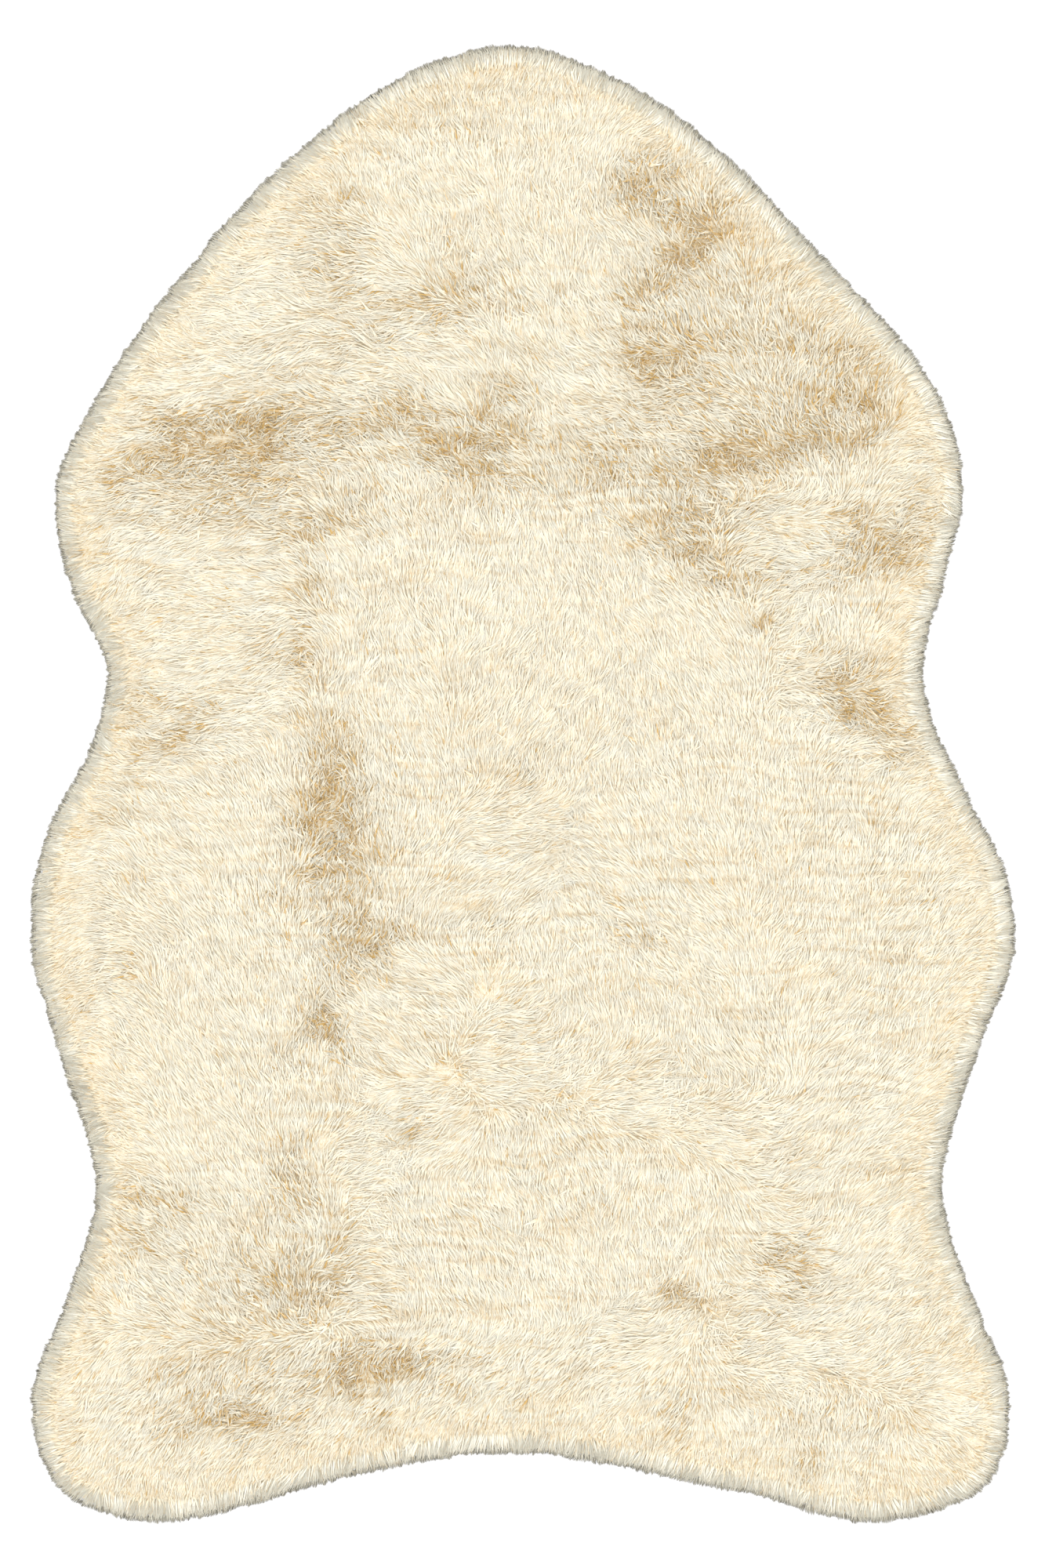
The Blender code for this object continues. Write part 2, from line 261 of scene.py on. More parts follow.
PATCHES = (
    # name, across mm, along mm, half width, half length, turned in degrees, how far the hairs stand up
    ("left shoulder", -170, 205, 38, 21, 3, 1.20),
    ("left shoulder, top edge", -166, 219, 30, 7, 0, 0.40),
    ("left shoulder, right end", -150, 206, 9, 20, 0, 0.40),
    ("left shoulder, left end", -217, 206, 17, 17, 0, 0.50),
    ("left shoulder, lying spot", -166, 203, 15, 5, 0, -0.60),
    ("left shoulder, tail", -232, 184, 28, 8, 4, 0.28),
    ("under the left shoulder", -160, 168, 60, 8, 0, 0.22),
    ("left slope, inner top", -112, 345, 19, 16, 0, 0.42),
    ("left slope, inner", -114, 312, 24, 17, 0, 0.36),
    ("left slope, spot", -94, 268, 16, 9, 0, 0.48),
    ("left slope, streak", -158, 266, 48, 4, 0, 0.22),
    ("neck", -30, 203, 22, 14, 0, 0.85),
    ("neck, halo", -44, 212, 52, 24, 0, 0.20),
    ("neck, top", -62, 226, 17, 12, -30, 0.45),
    ("neck, left", -94, 222, 30, 14, 0, 0.32),
    ("neck, right", -6, 236, 14, 20, 0, 0.30),
    ("under the neck", 58, 206, 26, 30, 0, 0.26),
    ("crown, ripple", -38, 300, 26, 9, 10, 0.42),
    ("crown, ripple right", 2, 288, 38, 6, 0, 0.26),
    ("beside the crown", 74, 360, 20, 17, -20, 0.80),
    ("beside the crown, right", 104, 352, 26, 26, 0, 0.34),
    ("right slope, halo", 108, 322, 40, 46, 0, 0.20),
    ("tuft beside the crown", 70, 392, 15, 6, -15, 0.35),
    ("right slope", 104, 326, 28, 11, 48, 0.90),
    ("right slope, left end", 78, 296, 18, 10, 20, 0.55),
    ("right slope, low left", 74, 270, 18, 18, 0, 0.50),
    ("right slope, middle", 140, 292, 34, 22, -30, 0.22),
    ("right shoulder, top streak", 148, 266, 62, 8, -6, 0.42),
    ("right shoulder, left streak", 96, 253, 26, 8, -4, 0.62),
    ("right shoulder, right end", 200, 234, 16, 28, -12, 0.66),
    ("right shoulder", 158, 232, 54, 26, 0, 0.46),
    ("right shoulder, low edge", 172, 203, 34, 12, 14, 0.66),
    ("right shoulder, low left", 122, 190, 24, 14, 22, 0.80),
    ("inside the right armpit", 97, 154, 18, 19, 0, 0.74),
    ("inside it, low", 112, 132, 22, 10, -30, 0.40),
    ("right armpit", 216, 145, 32, 19, 0, 0.78),
    ("right armpit, rim", 246, 158, 15, 11, 0, 0.42),
    ("right armpit, streak", 146, 123, 38, 6, 4, 0.28),
    ("right armpit, tuft", 148, 93, 8, 9, -30, 0.60),
    ("right waist, high", 214, 70, 22, 10, 0, 0.30),
    ("right waist", 208, 38, 30, 16, -32, 0.84),
    ("right waist, left end", 186, 58, 18, 7, -30, 0.50),
    ("left of the chest", -112, 151, 26, 9, 0, 0.50),
    ("left of the chest, streak", -128, 126, 8, 28, 0, 0.34),
    ("left waist, streak down", -128, 80, 7, 26, 0, 0.40),
    ("left waist", -200, 34, 26, 8, 34, 0.46),
    ("left waist, rim", -232, 50, 30, 15, 0, 0.32),
    ("left waist, inner", -152, 86, 30, 12, 38, 0.18),
    ("left column, top", -115, 6, 14, 21, 0, 0.95),
    ("left column", -115, -40, 21, 29, 0, 0.80),
    ("left column, halo", -112, -20, 34, 56, 0, 0.13),
    ("left column, swirl", -102, -98, 22, 15, 0, 0.78),
    ("left column, swirl edge", -92, -108, 12, 16, 20, 0.35),
    ("left column, end", -118, -142, 13, 19, 18, 0.95),
    ("left column, foot", -146, -170, 18, 14, -40, 0.24),
    ("curl in the middle", -8, -2, 30, 24, 0, 0.12),
    ("curl under it", 16, -34, 20, 12, -10, 0.14),
    ("curl, tail", -24, -90, 15, 5, -20, 0.46),
    ("curl, left tail", -64, -94, 16, 6, 0, 0.28),
    ("lower middle, spot", -62, -206, 9, 16, -30, 0.46),
    ("lower right, spot", 68, -96, 16, 7, -20, 0.26),
    ("left hip, ripple", -266, -128, 15, 9, 0, 0.34),
    ("left hip, inner", -232, -114, 9, 15, 0, 0.26),
    ("left flank, ripple", -247, -24, 10, 5, 0, 0.26),
    ("left knee", -228, -260, 34, 15, 0, 0.36),
    ("left shin, top", -138, -240, 10, 22, 0, 0.26),
    ("left shin, middle", -140, -280, 30, 26, 0, 0.22),
    ("left shin", -148, -310, 34, 21, 0, 0.50),
    ("left toe, ring", -174, -364, 40, 33, 0, 0.44),
    ("left toe, foot of the ring", -178, -386, 34, 10, 0, 0.36),
    ("left toe, ring middle", -166, -362, 9, 9, 0, -0.30),
    ("hem", -86, -347, 28, 11, 0, 1.20),
    ("hem, left", -108, -358, 19, 9, 0, 0.56),
    ("hem, low", -88, -382, 10, 8, 0, 0.36),
    ("hem, right", -28, -356, 28, 16, 0, 0.34),
    ("right shin, tuft", 152, -282, 12, 10, 30, 1.00),
    ("right shin, tuft right", 168, -296, 10, 14, 0, 0.70),
    ("right shin, tuft left", 93, -304, 12, 10, 0, 0.85),
    ("right shin, low", 158, -325, 24, 9, 0, 0.28),
    ("right shin, high", 150, -234, 26, 7, 0, 0.28),
    ("right knee, streak", 222, -242, 28, 6, 4, 0.26),
    ("right toe", 176, -412, 9, 13, 0, 0.75),
    ("right toe, left", 96, -374, 12, 11, 0, 0.26),
    ("right toe, high", 176, -378, 30, 12, 0, 0.20),
    # These broad, weak patches paint broad shade: the hairs there stand a little more and are darkened a
    # little
    ("shoulders, broad", -25, 184, 200, 26, 0, 0.24),
    ("right armpit, broad", 132, 132, 60, 24, 0, 0.13),
    ("right column, foot", 83, 233, 26, 24, 0, 0.22),
    ("neck, broad", -53, 291, 50, 24, 0, 0.18),
    ("crown, broad", -50, 398, 45, 24, 0, 0.14),
    ("left flank, broad", -240, -26, 24, 70, 0, 0.12),
    ("left column, side", -135, -79, 22, 28, 0, 0.16),
    ("left ankle, broad", -215, -290, 40, 25, 0, 0.18),
    ("left shin, right end", -117, -294, 16, 16, 0, 0.42),
    ("left shin, tip", -138, -230, 8, 14, 0, 0.36),
    ("left shoulder, rim", -239, 186, 24, 22, 0, 0.16),
)

CALM = (
    # name, across mm, along mm, reach in mm: where the pile has no ripples
    ("belly", 27, 50, 85),
    ("crown", 0, 352, 60),
    ("left knee", -225, -150, 90),
)

# The ripples: low ridges in the pile, with their light and shade also painted into the hairs as lighter and
# darker bands
RIPPLE_LONG = 50 * MM
RIPPLE_APART = 3.4 * MM
RIPPLE_SHADE = 0.70

# Colours, linear
ROOT_COLOUR = (0.76, 0.55, 0.29)
MIDDLE_COLOUR = (0.95, 0.875, 0.685)
TIP_COLOUR = (0.965, 0.935, 0.805)
# The palest colour, at the very tips; the fringe, painted paler as painted light, shows more of it
PALE_COLOUR = (0.985, 0.95, 0.81)
# What darkens a hair: its own brown and streaks, and the painted shade of the ripples, the rim band, the
# lower layers and the standing patches
BROWN_AND_SHADE_TINT = (0.70, 0.485, 0.215)
# The grey of those hairs at the rim: painted shadow
RIM_SHADOW_COLOUR = (0.40, 0.375, 0.30)
BACKING_COLOUR = (0.62, 0.53, 0.38)
FLOOR_COLOUR = (0.97, 0.97, 0.97)

# Light
WORLD_STRENGTH = 1.27
KEY_STRENGTH = 0.16
KEY_SPREAD_DEG = 50
KEY_PLACE = (-0.5, 0.3, 2.2)

# The floor
FLOOR_HALF = 8.0
FLOOR_DROP = 0.2 * MM  # under the backing

# The photograph's frame
FRAME_LONG = 955 * MM  # what the longer side of the picture covers
FRAME_ACROSS = -1.0 * MM
LENS_MM = 120
RIM_HEIGHT = 2 * MM  # the level at which the picture covers that
SENSOR_MM = 36

# One hair: root, two corners and tip. Its faces, and where across the hair each of their corners is
WEDGE_FACES = ((0, 2, 1), (3, 1, 2), (0, 3, 2), (0, 1, 3))
WEDGE_ACROSS = ((0.5, 0, 1), (0.5, 1, 0), (0.5, 0.5, 0), (0.5, 1, 0.5))
WEDGE_CORNERS = 4

rng = np.random.default_rng(7)


def blurred(grid, radius):
    """A Gaussian blur, with the radius in cells."""
    reach = int(math.ceil(radius * 3))
    weights = np.exp(-0.5 * (np.arange(-reach, reach + 1) / radius) ** 2)
    weights /= weights.sum()
    for axis in (0, 1):
        wide = np.pad(grid, [(reach, reach) if k == axis else (0, 0) for k in (0, 1)], mode="edge")
        along = np.arange(grid.shape[axis])
        grid = sum(w * np.take(wide, along + i, axis=axis) for i, w in enumerate(weights))
    return grid


def noise(x, y, size, seed):
    """Smooth noise from -1 to 1, with lumps about that size across."""
    table = np.random.default_rng(seed).uniform(-1, 1, (256, 256))
    u, v = x / size, y / size
    i, j = np.floor(u).astype(int), np.floor(v).astype(int)
    s, t = u - i, v - j
    s, t = s * s * (3 - 2 * s), t * t * (3 - 2 * t)
    a, b = table[i % 256, j % 256], table[(i + 1) % 256, j % 256]
    c, d = table[i % 256, (j + 1) % 256], table[(i + 1) % 256, (j + 1) % 256]
    return (a * (1 - s) + b * s) * (1 - t) + (c * (1 - s) + d * s) * t


class Maps:
    """The solid as maps on a grid: how far in from the rim a place is, and how high the pile is there."""

    def __init__(self, solid):
        data = solid.data
        place = solid.matrix_world
        points = [place @ vertex.co for vertex in data.vertices]
        faces = [tuple(polygon.vertices) for polygon in data.polygons]
        tree = BVHTree.FromPolygons(points, faces)
        low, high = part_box(NODE)
        self.x0, self.y0 = low[0] - MAP_MARGIN, low[1] - MAP_MARGIN
        self.columns = int((high[0] + MAP_MARGIN - self.x0) / MAP_STEP) + 1
        self.rows = int((high[1] + MAP_MARGIN - self.y0) / MAP_STEP) + 1

        height = np.zeros((self.columns, self.rows))
        for i in range(self.columns):
            for j in range(self.rows):
                above = Vector((self.x0 + i * MAP_STEP, self.y0 + j * MAP_STEP, 1))
                hit = tree.ray_cast(above, Vector((0, 0, -1)))[0]
                if hit is not None:
                    height[i, j] = max(hit.z, 0.1 * MM)
        rim = self.rim_points(points, faces)
        finder = KDTree(len(rim))
        for k, point in enumerate(rim):
            finder.insert((point[0], point[1], 0), k)
        finder.balance()
        inset = np.empty_like(height)
        for i in range(self.columns):
            for j in range(self.rows):
                away = finder.find((self.x0 + i * MAP_STEP, self.y0 + j * MAP_STEP, 0))[2]
                inset[i, j] = away if height[i, j] > 0 else -away
        self.inset = blurred(inset, INSET_BLUR / MAP_STEP) + TEETH_MEAN
        self.height = blurred(height, HEIGHT_BLUR / MAP_STEP)
        self.out_x, self.out_y = (-slope for slope in np.gradient(self.inset, MAP_STEP))
        slopes = np.gradient(self.height, MAP_STEP)
        self.slopes = [np.clip(slope, -NORMAL_TILT, NORMAL_TILT) for slope in slopes]

    @staticmethod
    def rim_points(points, faces):
        """The middles and ends of the edges where the flat underside meets the rest."""
        seen = {}
        spots = [(round(point.x / MM, 2), round(point.y / MM, 2)) for point in points]
        for face in faces:
            flat = all(points[k].z < 0.05 * MM for k in face)
            for a, b in zip(face, face[1:] + face[:1]):
                if points[a].z < 0.05 * MM and points[b].z < 0.05 * MM:
                    seen.setdefault(tuple(sorted((spots[a], spots[b]))), set()).add(flat)
        found = []
        for (a, b), flats in seen.items():
            if len(flats) == 2:
                found += [Vector(a) * MM, (Vector(a) + Vector(b)) * MM / 2]
        return found

    def read(self, grid, x, y):
        u = np.clip((x - self.x0) / MAP_STEP, 0, self.columns - 1.001)
        v = np.clip((y - self.y0) / MAP_STEP, 0, self.rows - 1.001)
        i, j = u.astype(int), v.astype(int)
        s, t = u - i, v - j
        near = grid[i, j] * (1 - s) + grid[i + 1, j] * s
        far = grid[i, j + 1] * (1 - s) + grid[i + 1, j + 1] * s
        return near * (1 - t) + far * t

    def outward(self, x, y):
        ox, oy = self.read(self.out_x, x, y), self.read(self.out_y, x, y)
        size = np.hypot(ox, oy) + 1e-9
        return ox / size, oy / size


maps = Maps(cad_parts[NODE])


def undercoat_top(x, y):
    """The undercoat's height: under the solid's top, and thinning out to the rim."""
    inset = maps.read(maps.inset, x, y)
    under = maps.read(maps.height, x, y) - PILE_OVER_UNDERCOAT
    thin = np.clip(inset / UNDERCOAT_THINS, 0, 1) ** 0.7 * UNDERCOAT_THICK
    return np.maximum(np.minimum(under, thin), 0.4 * MM) + noise(x, y, 7 * MM, 31) * 0.5 * MM


def rippled(x, y):
    """How strong the ripples are at a place, from 0 to 1.4."""
    region = 1.15 + 0.35 * noise(x, y, 70 * MM, 36)
    for _, px, py, reach in CALM:
        region -= 0.85 * np.exp(-((x / MM - px) ** 2 + (y / MM - py) ** 2) / reach**2)
    return np.clip(region, 0.15, 1.4) * (1 - np.exp(-((maps.read(maps.inset, x, y) / NEAR_RIM) ** 2)))


def ripple_shift(x, y):
    """How far the ripples wander off a straight line at a place."""
    return 9 * MM * noise(x, y, 60 * MM, 38) + 3 * MM * noise(x, y, 22 * MM, 39)


def ripples(x, y):
    """Low ridges across the rug, from about -1 to 1. They lift the pile a little, and are painted in as light
    and shade.
    """
    along = y + ripple_shift(x, y)
    wide, fine = noise(x / 14, along, 3.2 * MM, 40), noise(x / 11, along, 2.0 * MM, 37)
    return rippled(x, y) * (0.7 * wide + 0.6 * fine)


def standing(x, y):
    """How far the hairs stand up at a place, from 0 to about 1.3, with the patches' edges ragged."""
    across, along = x / MM, y / MM
    across = across + noise(x, y, 26 * MM, 41) * 7 + noise(x, y, 9 * MM, 42) * 4
    along = along + noise(x, y, 26 * MM, 43) * 6 + noise(x, y, 9 * MM, 44) * 3.5
    found = np.zeros_like(x)
    for _, px, py, half_width, half_length, turned, strength in PATCHES:
        turn = math.radians(turned)
        dx, dy = across - px, along - py
        u = (dx * math.cos(turn) + dy * math.sin(turn)) / half_width
        v = (dy * math.cos(turn) - dx * math.sin(turn)) / half_length
        found += 0.72 * strength * np.exp(-((u * u + v * v) / 1.25) ** 1.3)
    speckle = 0.40 * noise(x, y, 5 * MM, 45) + 0.65 * noise(x, y, 2.0 * MM, 46)
    speckle += 0.5 * noise(x / 8, y, 4 * MM, 49)
    common = 0.02 * noise(x, y, 34 * MM, 47) + 0.04 * noise(x, y, 14 * MM, 48)
    common += 0.15 * ripples(x, y)
    return np.clip(found * (1 + speckle) + common, 0, 1.3)


def clump_centres(x, y):
    """The middle of the clump that each place belongs to."""
    wx = x + noise(x, y, 11 * MM, 91) * 3 * MM
    wy = y + noise(x, y, 11 * MM, 92) * 3 * MM
    table = np.random.default_rng(93).uniform(0.15, 0.85, (2, 512, 512))
    i, j = np.floor(wx / CLUMP_SIZE).astype(int), np.floor(wy / CLUMP_SIZE).astype(int)
    cx = (i + table[0, i % 512, j % 512]) * CLUMP_SIZE - (wx - x)
    cy = (j + table[1, i % 512, j % 512]) * CLUMP_SIZE - (wy - y)
    return cx, cy


def heading(x, y, each_own=True):
    """Which way the hairs lie at a place, as an angle in radians, and how far the strokes there disagree."""
    across, along = x / MM, y / MM
    dx, dy, total = np.zeros_like(x), np.zeros_like(x), np.zeros_like(x)
    own_x, own_y = np.zeros_like(x), np.zeros_like(x)
    for _, px, py, degrees, reach in COMB:
        weight = np.exp(-((across - px) ** 2 + (along - py) ** 2) / reach**2) + 1e-7
        total += weight
        turn_x, turn_y = math.cos(math.radians(degrees)), math.sin(math.radians(degrees))
        dx += weight * turn_x
        dy += weight * turn_y
        if each_own:
            chosen = rng.random(len(x)) < weight / total
            own_x, own_y = np.where(chosen, turn_x, own_x), np.where(chosen, turn_y, own_y)
    size = np.hypot(dx, dy) + 1e-12
    unsure = np.clip(1 - size / total / 0.8, 0, 1)
    # Where strokes disagree, a hair leans to one of them
    dx += own_x * unsure * 1.2 * total
    dy += own_y * unsure * 1.2 * total
    size = np.hypot(dx, dy) + 1e-12
    inset = maps.read(maps.inset, x, y)
    out_x, out_y = maps.outward(x, y)
    pull = 3.5 * np.exp(-((inset / (15 * MM)) ** 2))
    angle = np.arctan2(dy / size + pull * out_y, dx / size + pull * out_x)
    for amount, lump, seed in ((0.30, 30 * MM, 51), (0.34, 11 * MM, 52), (0.30, 5 * MM, 53)):
        angle += amount * noise(x, y, lump, seed)
    return angle, unsure


def flow_map():
    """The even part of the hairs' heading, as two maps."""
    i, j = np.meshgrid(np.arange(maps.columns), np.arange(maps.rows), indexing="ij")
    angle = heading(maps.x0 + i.ravel() * MAP_STEP, maps.y0 + j.ravel() * MAP_STEP, False)[0].reshape(i.shape)
    return np.cos(angle), np.sin(angle)


flow = flow_map()


def wisps(x, y, width, reach, seed):
    """Noise from about -1 to 1 that is drawn out along the way the hairs lie."""
    total = noise(x, y, width, seed)
    step = width * 0.8
    count = int(reach / step)
    for way in (-step, step):
        px, py = x, y
        for _ in range(count):
            dx, dy = maps.read(flow[0], px, py), maps.read(flow[1], px, py)
            px, py = px + way * dx, py + way * dy
            total = total + noise(px, py, width, seed)
    return total / math.sqrt(2 * count + 1) * 1.2


def scattered(count, least_inset):
    """About that many places inside the rim, spread evenly and not in rows."""
    width, length = maps.columns * MAP_STEP, maps.rows * MAP_STEP
    cell = math.sqrt(0.66 * width * length / count)
    columns, rows = int(width / cell) + 1, int(length / cell) + 1
    i, j = np.meshgrid(np.arange(columns), np.arange(rows), indexing="ij")
    x = maps.x0 + (i.ravel() + rng.random(i.size)) * cell
    y = maps.y0 + (j.ravel() + rng.random(j.size)) * cell
    kept = maps.read(maps.inset, x, y) > least_inset
    return x[kept], y[kept]


def hair_paths(x, y, length, lift, wave, room, mess, to_rim, lowest):
    """Each hair's root, widest point and tip in an array (hairs, 3, 3), its heading and how far it stands."""
    count = len(x)
    stand = standing(x, y)
    near_rim = np.exp(-((maps.read(maps.inset, x, y) / NEAR_RIM) ** 2))
    stand *= 1 - near_rim
    angle, unsure = heading(x, y)
    stand = np.minimum(stand + 0.10 * unsure * (1 - near_rim), 1.3)
    angle += rng.normal(0, 0.20, count) * mess
    angle += (1.3 * stand + unsure) * (1.2 * noise(x, y, 9 * MM, 61) + rng.normal(0, 0.5, count))
    length = length * rng.uniform(0.72, 1.18, count) * (1 - 0.40 * np.minimum(stand, 1))
    share = np.array([0, HAIR_WIDEST, 1])
    root_slope = np.radians(LYING_DEG[0] + (STANDING_DEG[0] - LYING_DEG[0]) * np.minimum(stand, 1))
    tip_slope = np.radians(LYING_DEG[1] + (STANDING_DEG[1] - LYING_DEG[1]) * np.minimum(stand, 1))
    uneven = 0.32 + 0.68 * np.minimum(stand, 1)
    root_slope += uneven * (rng.normal(0, 0.16, count) + 0.20 * noise(x, y, 6 * MM, 62))
    tip_slope += uneven * (rng.normal(0, 0.14, count) + 0.20 * noise(x, y, 6 * MM, 63))
    root_slope -= 0.22 * near_rim
    tip_slope -= 0.20 * near_rim

    halfway = share[None, 1:] + share[None, :-1]
    slopes = root_slope[:, None] + (tip_slope - root_slope)[:, None] * halfway / 2
    steps = length[:, None] * np.diff(share)[None, :]
    ahead = np.concatenate([np.zeros((count, 1)), np.cumsum(np.cos(slopes) * steps, 1)], 1)
    rise = np.concatenate([np.zeros((count, 1)), np.cumsum(np.sin(slopes) * steps, 1)], 1)
    bend = noise(x, y, 12 * MM, 64) + 0.7 * noise(x, y, 5 * MM, 65) + rng.normal(0, 0.35, count)
    bend *= wave * (1 + 2 * stand)
    aside = (bend * length)[:, None] * (share**2 - share * 0.5)[None, :]

    # A hair that would pass the rim's fringe is drawn in, and one of the fringe's own ends just there
    root_inset = maps.read(maps.inset, x, y)
    tip_x = x + np.cos(angle) * ahead[:, -1] - np.sin(angle) * aside[:, -1]
    tip_y = y + np.sin(angle) * ahead[:, -1] + np.cos(angle) * aside[:, -1]
    tip_inset = maps.read(maps.inset, tip_x, tip_y)
    over = room - tip_inset
    scale = 1 - over / np.maximum(root_inset - tip_inset, 1e-6)
    scale = np.clip(np.where((over > 0) | to_rim, scale, 1), 0.25, 1.7 if to_rim else 1)[:, None]
    ahead, aside, rise = ahead * scale, aside * scale, rise * scale

    px = x[:, None] + np.cos(angle)[:, None] * ahead - np.sin(angle)[:, None] * aside
    py = y[:, None] + np.sin(angle)[:, None] * ahead + np.cos(angle)[:, None] * aside
    centre_x, centre_y = clump_centres(x, y)
    pull = CLUMP_PULL[0] + (CLUMP_PULL[1] - CLUMP_PULL[0]) * np.minimum(stand, 1)
    pull = (pull * (1 - near_rim))[:, None] * share[None, :] ** 2
    px += pull * (centre_x - x)[:, None]
    py += pull * (centre_y - y)[:, None]
    ground = undercoat_top(px.ravel(), py.ravel()).reshape(px.shape)
    low_relief = 0.30 * wisps(x, y, 2.4 * MM, 9 * MM, 66) - 0.5 * ripples(x, y)
    ground = ground + (MM * low_relief * (1 - near_rim))[:, None]
    pz = np.maximum(ground + rise - np.broadcast_to(lift, count)[:, None], lowest)
    return np.stack([px, py, pz], 2), angle, stand


def pile_normals(x, y):
    """The pile's own normals at those places, from the solid's height."""
    slope_x, slope_y = (maps.read(grid, x, y) for grid in maps.slopes)
    up = np.stack([-slope_x, -slope_y, np.ones(len(x))], 1)
    return up / np.linalg.norm(up, axis=1, keepdims=True)


def hair_mesh(name, paths, angle, radii, values):
    """Joins the hairs into one mesh, each a slim closed wedge of four faces."""
    count = len(paths)
    ahead = paths[:, 2:] - paths[:, :-2]
    ahead /= np.linalg.norm(ahead, axis=2, keepdims=True) + 1e-12
    side = np.stack([-np.sin(angle), np.cos(angle), np.zeros(count)], 1)[:, None, :]
    up = np.cross(ahead, np.broadcast_to(side, ahead.shape))
    roll = rng.uniform(-0.3, 0.3, count)[:, None, None]
    middle = paths[:, 1:2]
    corners = []
    for turn in (roll, roll + math.pi):
        corners.append(middle + radii[:, None, None] * (np.cos(turn) * side + np.sin(turn) * up))
    ring = np.concatenate(corners, 1)
    # The faces look outwards where root, corners and tip turn one way round
    a, b, tip = (p - paths[:, 0] for p in (ring[:, 0], ring[:, 1], paths[:, -1]))
    inside_out = np.einsum("ij,ij->i", np.cross(a, b), tip) < 0
    ring[inside_out] = ring[inside_out][:, ::-1]
    ring[:, :, 2] = np.maximum(ring[:, :, 2], 0.02 * MM)
    points = np.concatenate([paths[:, :1], ring, paths[:, -1:]], 1)
    faces = (np.arange(count)[:, None, None] * WEDGE_CORNERS + np.array(WEDGE_FACES)[None]).reshape(-1, 3)

    mesh = bpy.data.meshes.new(name)
    mesh.vertices.add(count * WEDGE_CORNERS)
    mesh.vertices.foreach_set("co", points.ravel())
    mesh.loops.add(faces.size)
    mesh.loops.foreach_set("vertex_index", faces.ravel())
    mesh.polygons.add(len(faces))
    mesh.polygons.foreach_set("loop_start", np.arange(0, faces.size, 3))
    mesh.update(calc_edges=True)
    mesh.shade_smooth()
    share = np.array([0, HAIR_WIDEST, HAIR_WIDEST, 1])
    # The fine streaks' map: across the hair and along it, in streaks
    long = np.linalg.norm(paths[:, -1] - paths[:, 0], axis=1) / STREAK_LENGTH
    wide = radii * 2 / STREAK_WIDTH
    u = np.array(WEDGE_ACROSS, float).ravel()[None, :] * wide[:, None] + rng.uniform(0, 400, (count, 1))
    v = share[np.array(WEDGE_FACES).ravel()][None, :] * long[:, None] + rng.uniform(0, 400, (count, 1))
    streaks = mesh.uv_layers.new(name="streaks")
    streaks.uv.foreach_set("vector", np.stack([u, v], 2).astype(np.float32).ravel())
    # Soft shading: the pile's own normals, leaning out a little at each hair's sides
    up = pile_normals(paths[:, 0, 0], paths[:, 0, 1]) + rng.normal(0, NORMAL_UNEVEN, (count, 3))
    normals = np.repeat(up[:, None, :], WEDGE_CORNERS, axis=1)
    lean = ring - middle
    lean /= np.linalg.norm(lean, axis=2, keepdims=True) + 1e-12
    normals[:, 1:-1] += NORMAL_ROUND * lean
    normals /= np.linalg.norm(normals, axis=2, keepdims=True)
    mesh.normals_split_custom_set_from_vertices(normals.reshape(-1, 3))
    layers = {"along": np.tile(share, count)}
    for key, value in values.items():
        layers[key] = np.repeat(value, WEDGE_CORNERS)
    for key, value in layers.items():
        layer = mesh.attributes.new(key, "FLOAT", "POINT")
        layer.data.foreach_set("value", value.astype(np.float32))
    piece = bpy.data.objects.new(name, mesh)
    bpy.context.scene.collection.objects.link(piece)
    return piece


def shades(x, y, stand):
    """How dark each hair is, from 0 to 1: mostly light, with more brown ones where the pile stands. Partly
    painted shade: the ripples' bands, a band inside the rim, and the shade between standing hairs.
    """
    # Lighter where the ripples are painted strongly, so that their painted shade does not darken the pile
    # overall
    light = 0.10 - 0.05 * rippled(x, y) + 0.03 * stand
    light = light + 0.02 * noise(x, y, 16 * MM, 71) + 0.02 * noise(x, y, 5 * MM, 72)
    light += 0.04 * wisps(x, y, 1.3 * MM, 8 * MM, 73) + 0.035 * wisps(x, y, 3 * MM, 14 * MM, 77)
    # Painted shade: hairs rooted about 20 mm inside the rim are darker, so that the pile there is no lighter
    # than further in
    light += 0.13 * np.exp(-((maps.read(maps.inset, x, y) / MM - 20) / 13) ** 2)
    light += rng.normal(0, 0.05, len(x))
    # Lighter and darker horizontal bands, and the ripples' painted light and shade
    light += 0.04 * noise(x / 5, y, 9 * MM, 76) + 0.09 * ripples(x, y)
    # Brown hairs where the pile stands: partly the browner roots that show there, partly painted shade
    # between the standing hairs
    likely = stand * (0.72 + 0.62 * noise(x, y, 2.0 * MM, 74)) + 0.05 + 0.08 * noise(x, y, 7 * MM, 75)
    brown = np.clip((likely - rng.random(len(x))) * 5, 0, 1) * rng.uniform(0.7, 1.25, len(x))
    return np.clip(light, 0, 1) + brown


def tones(x, y, stand):
    """How far each hair's brown root reaches: further where the pile stands, and hardly at the rim. Near the
    rim the paler hairs are partly painted light.
    """
    return 0.10 * np.exp(-((maps.read(maps.inset, x, y) / (12 * MM)) ** 2)) - 0.12 * stand


